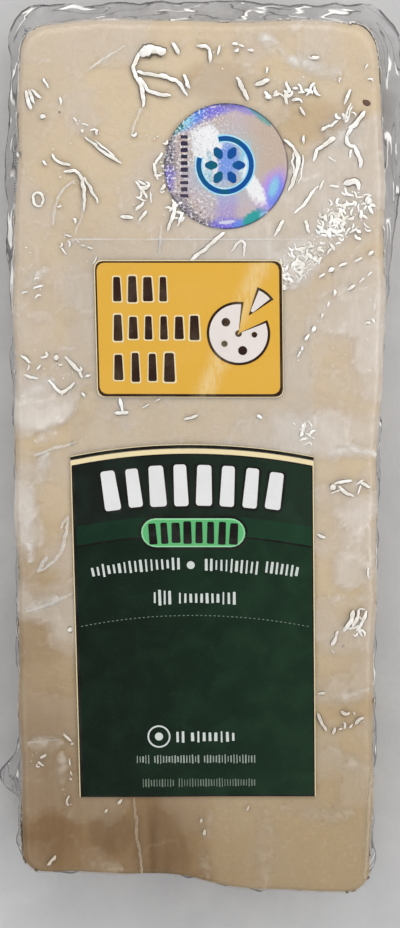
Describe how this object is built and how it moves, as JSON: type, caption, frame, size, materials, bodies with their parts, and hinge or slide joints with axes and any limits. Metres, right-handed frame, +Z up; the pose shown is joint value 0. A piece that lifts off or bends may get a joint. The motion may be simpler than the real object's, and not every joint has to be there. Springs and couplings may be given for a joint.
{
  "type": "vacuum-packed cheese block",
  "caption": "Flat rectangular block of hard cheese sealed in clear vacuum film with a thin crinkled seal margin, a long clear label and a round iridescent sticker on its top face.",
  "frame": {"origin": "under the middle of the whole pack, on the surface that it lies on", "axes": "+Z up through the labelled top face, +Y along the block towards the end with the round sticker, +X to the right of the label"},
  "size_m": [0.077, 0.1686, 0.02],
  "materials": {
    "pack_film": "clear wrinkled film drawn tight over pale cream to tan hard cheese",
    "label_film": "clear glossy label film with a dark green field and a yellow-orange panel",
    "sticker_foil": "iridescent silver diffraction foil with blue, violet and green patches"
  },
  "bodies": {
    "root": {"vacuum_pack": "pack_film", "front_label": "label_film", "hologram_sticker": "sticker_foil"}
  },
  "joints": []
}
